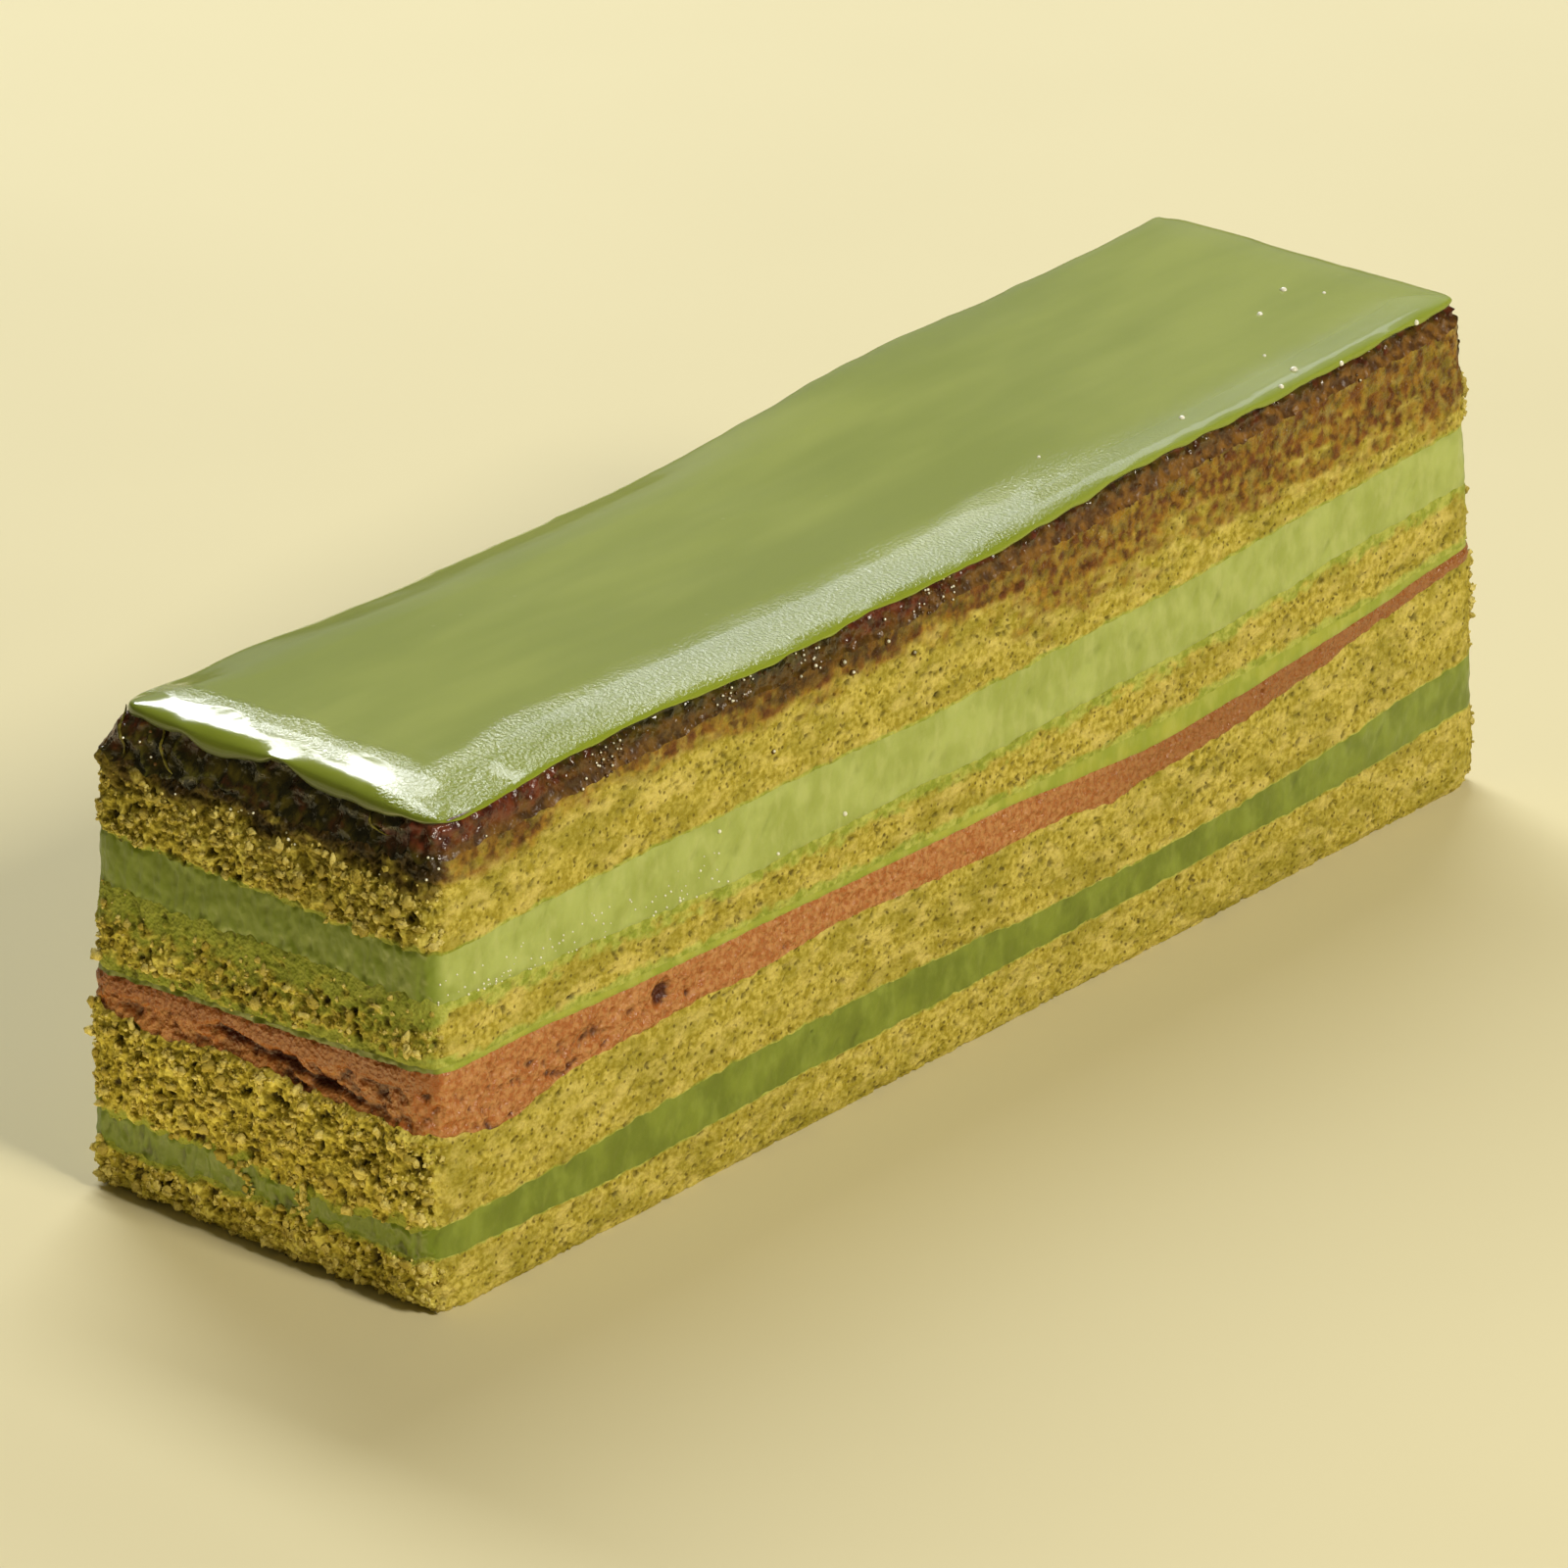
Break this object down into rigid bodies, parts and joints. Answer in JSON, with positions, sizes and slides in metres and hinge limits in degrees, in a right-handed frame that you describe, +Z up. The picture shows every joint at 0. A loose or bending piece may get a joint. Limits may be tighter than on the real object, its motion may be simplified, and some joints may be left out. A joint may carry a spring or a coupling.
{
  "type": "green tea opera cake bar",
  "caption": "Long cut bar of layered green tea cake: sponge sheets, green cream, a reddish ganache, dark jam and a glossy green glaze on top.",
  "frame": {"origin": "middle of the bar's footprint, on the flat base", "axes": "+Y along the bar, away from the cut end that shows; +Z up through the layers to the glaze; +X across the bar, towards the long cut side that shows"},
  "size_m": [0.0354, 0.1274, 0.0422],
  "materials": {
    "sponge": "open golden olive crumb, matte",
    "sponge_soaked": "open crumb, soaked dark red brown under the jam",
    "cream": "smooth cut cream, satin",
    "cream_dark": "smooth cut cream, satin",
    "ganache": "dense, partly torn, satin",
    "jam": "wet, glossy, nearly black red",
    "glaze": "glossy green glaze with a brighter lip"
  },
  "bodies": {
    "root": {"sponge_base": "sponge", "cream_lower": "cream_dark", "sponge_lower": "sponge", "ganache_red": "ganache", "cream_film": "cream", "sponge_upper": "sponge", "cream_upper": "cream", "sponge_top": "sponge_soaked", "jam": "jam", "glaze": "glaze"}
  },
  "joints": []
}
